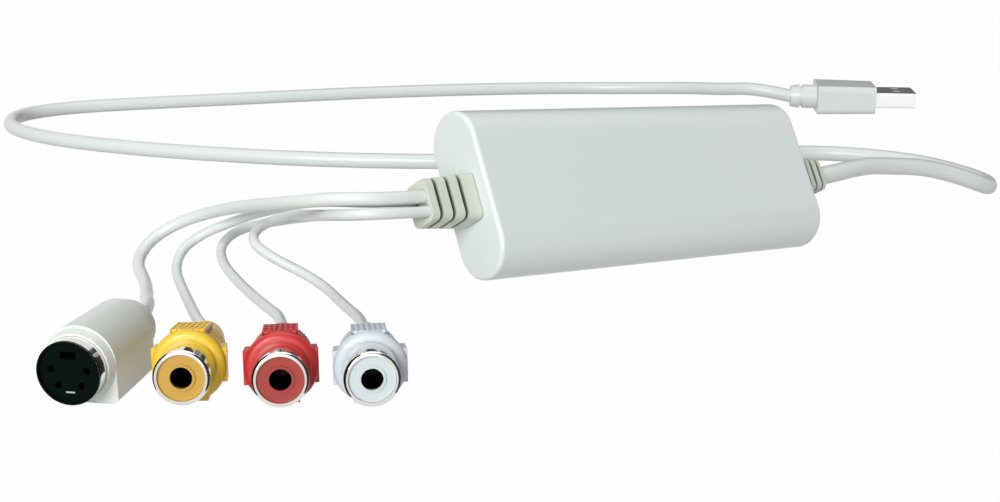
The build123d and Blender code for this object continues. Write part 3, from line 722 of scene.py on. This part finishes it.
for subpart in frame["record"]["subparts"]:
    dress(frame["nodes"][subpart["node"]], subpart["material_slot"])
for jack_name, insert_look in insert_looks.items():
    dress(frame["nodes"][jack_name + "_jack_insulator"], insert_look)
    dress(hole_rims[jack_name], insert_look)
for jack_name, (jack, slot, route, length) in phono_jacks.items():
    dress(grips[jack_name], slot)
dress(frame["nodes"]["svideo_jack_body"], "svideo_white")
dress(frame["nodes"]["svideo_jack_contacts"], "socket_metal")
dress(face_rim, "insert_black")
for cord in cords:
    dress(cord, "lead_white")

# Stage: a white floor that keeps a faint shadow, a white surround, soft lamps and dark cards
fill_strength = 0.2
floor_size = 4
floor_gap = 0.02 * MM
floor_grey = (0.55, 0.55, 0.55, 1)
floor_glow_share = 0.98
white = (1, 1, 1, 1)
card_black = (0.01, 0.01, 0.01, 1)


def seen_directly(tree):
    """One for what the camera or a reflection looks at, or what shows through, and else zero."""
    path = tree.nodes.new("ShaderNodeLightPath")
    seen = path.outputs["Is Camera Ray"]
    for ray in ("Is Glossy Ray", "Is Transmission Ray"):
        either = tree.nodes.new("ShaderNodeMath")
        either.operation = "MAXIMUM"
        tree.links.new(seen, either.inputs[0])
        tree.links.new(path.outputs[ray], either.inputs[1])
        seen = either.outputs["Value"]
    return seen


def white_surround():
    """A white world for the camera and for reflections, and an even fill for the rest."""
    world = bpy.data.worlds.new("surround")
    world.use_nodes = True
    bpy.context.scene.world = world
    tree = world.node_tree
    background = tree.nodes["Background"]
    background.inputs["Color"].default_value = white
    strength = tree.nodes.new("ShaderNodeMapRange")
    strength.inputs["To Min"].default_value = fill_strength
    strength.inputs["To Max"].default_value = 1
    tree.links.new(seen_directly(tree), strength.inputs["Value"])
    tree.links.new(strength.outputs["Result"], background.inputs["Strength"])


def white_floor():
    """A floor that is white to the camera and shows a little of the object's shadow."""
    bpy.ops.mesh.primitive_plane_add(size=floor_size)
    floor = bpy.context.object
    floor.name = "floor"
    floor.location.z = -floor_gap
    material = new_look("floor")
    tree = material.node_tree
    shader = tree.nodes["Principled BSDF"]
    shader.inputs["Base Color"].default_value = floor_grey
    shader.inputs["Roughness"].default_value = 1
    shader.inputs["Specular IOR Level"].default_value = 0
    glow = tree.nodes.new("ShaderNodeEmission")
    glow.inputs["Color"].default_value = white
    share = tree.nodes.new("ShaderNodeMapRange")
    share.inputs["To Min"].default_value = 0
    share.inputs["To Max"].default_value = floor_glow_share
    mixed = tree.nodes.new("ShaderNodeMixShader")
    tree.links.new(seen_directly(tree), share.inputs["Value"])
    tree.links.new(share.outputs["Result"], mixed.inputs["Fac"])
    tree.links.new(shader.outputs["BSDF"], mixed.inputs[1])
    tree.links.new(glow.outputs["Emission"], mixed.inputs[2])
    tree.links.new(mixed.outputs["Shader"], tree.nodes["Material Output"].inputs["Surface"])
    floor.data.materials.append(material)


def lamp(name, place, target, size, power):
    """A soft rectangular lamp aimed at a point."""
    data = bpy.data.lights.new(name, "AREA")
    data.shape = "RECTANGLE"
    data.size, data.size_y = size
    data.energy = power
    light = bpy.data.objects.new(name, data)
    light.location = place
    light.rotation_mode = "QUATERNION"
    light.rotation_quaternion = (Vector(target) - Vector(place)).to_track_quat("-Z", "Y")
    bpy.context.scene.collection.objects.link(light)


def dark_card(name, place, target, size):
    """A dark card that only reflections see."""
    bpy.ops.mesh.primitive_plane_add(size=1)
    card = bpy.context.object
    card.name = name
    card.scale = (*size, 1)
    card.location = place
    card.rotation_mode = "QUATERNION"
    card.rotation_quaternion = (Vector(target) - Vector(place)).to_track_quat("Z", "Y")
    card.visible_camera = False
    card.visible_shadow = False
    card.visible_diffuse = False
    material = new_look(name)
    material.node_tree.nodes["Principled BSDF"].inputs["Base Color"].default_value = card_black
    card.data.materials.append(material)


white_surround()
white_floor()
lamp("overhead", (0.03, 0.1, 0.8), (0, 0, 0), (0.9, 0.6), 2.0)
lamp("key_left", (-1.02, -0.64, 0.62), (-0.02, 0, 0.02), (0.6, 0.6), 13)
lamp("front_low", (-0.62, -0.6, 0.14), (0, 0, 0.01), (0.6, 0.2), 1.7)
jacks_middle = (-0.09, -0.02, 0.01)
dark_card("dark_card_right", (0.06, -0.2, 0.17), jacks_middle, (0.34, 0.34))
dark_card("dark_card_back", (0.3, 0.25, 0.12), jacks_middle, (0.5, 0.24))

# Small cards beside the jacks, which show in the chrome of their right sides
card_across = 7.2
card_above = 3
card_size = (12 * MM, 18 * MM)
jacks = {
    "svideo": svideo_jack,
    "composite": composite_jack,
    "right_audio": right_audio_jack,
    "left_audio": left_audio_jack,
}
for jack_name, jack in jacks.items():
    card_place = jack.point(0, card_across, card_above)
    dark_card("dark_card_" + jack_name, card_place, jack.point(0, 0, card_above), card_size)

bpy.context.scene.view_settings.view_transform = "Standard"
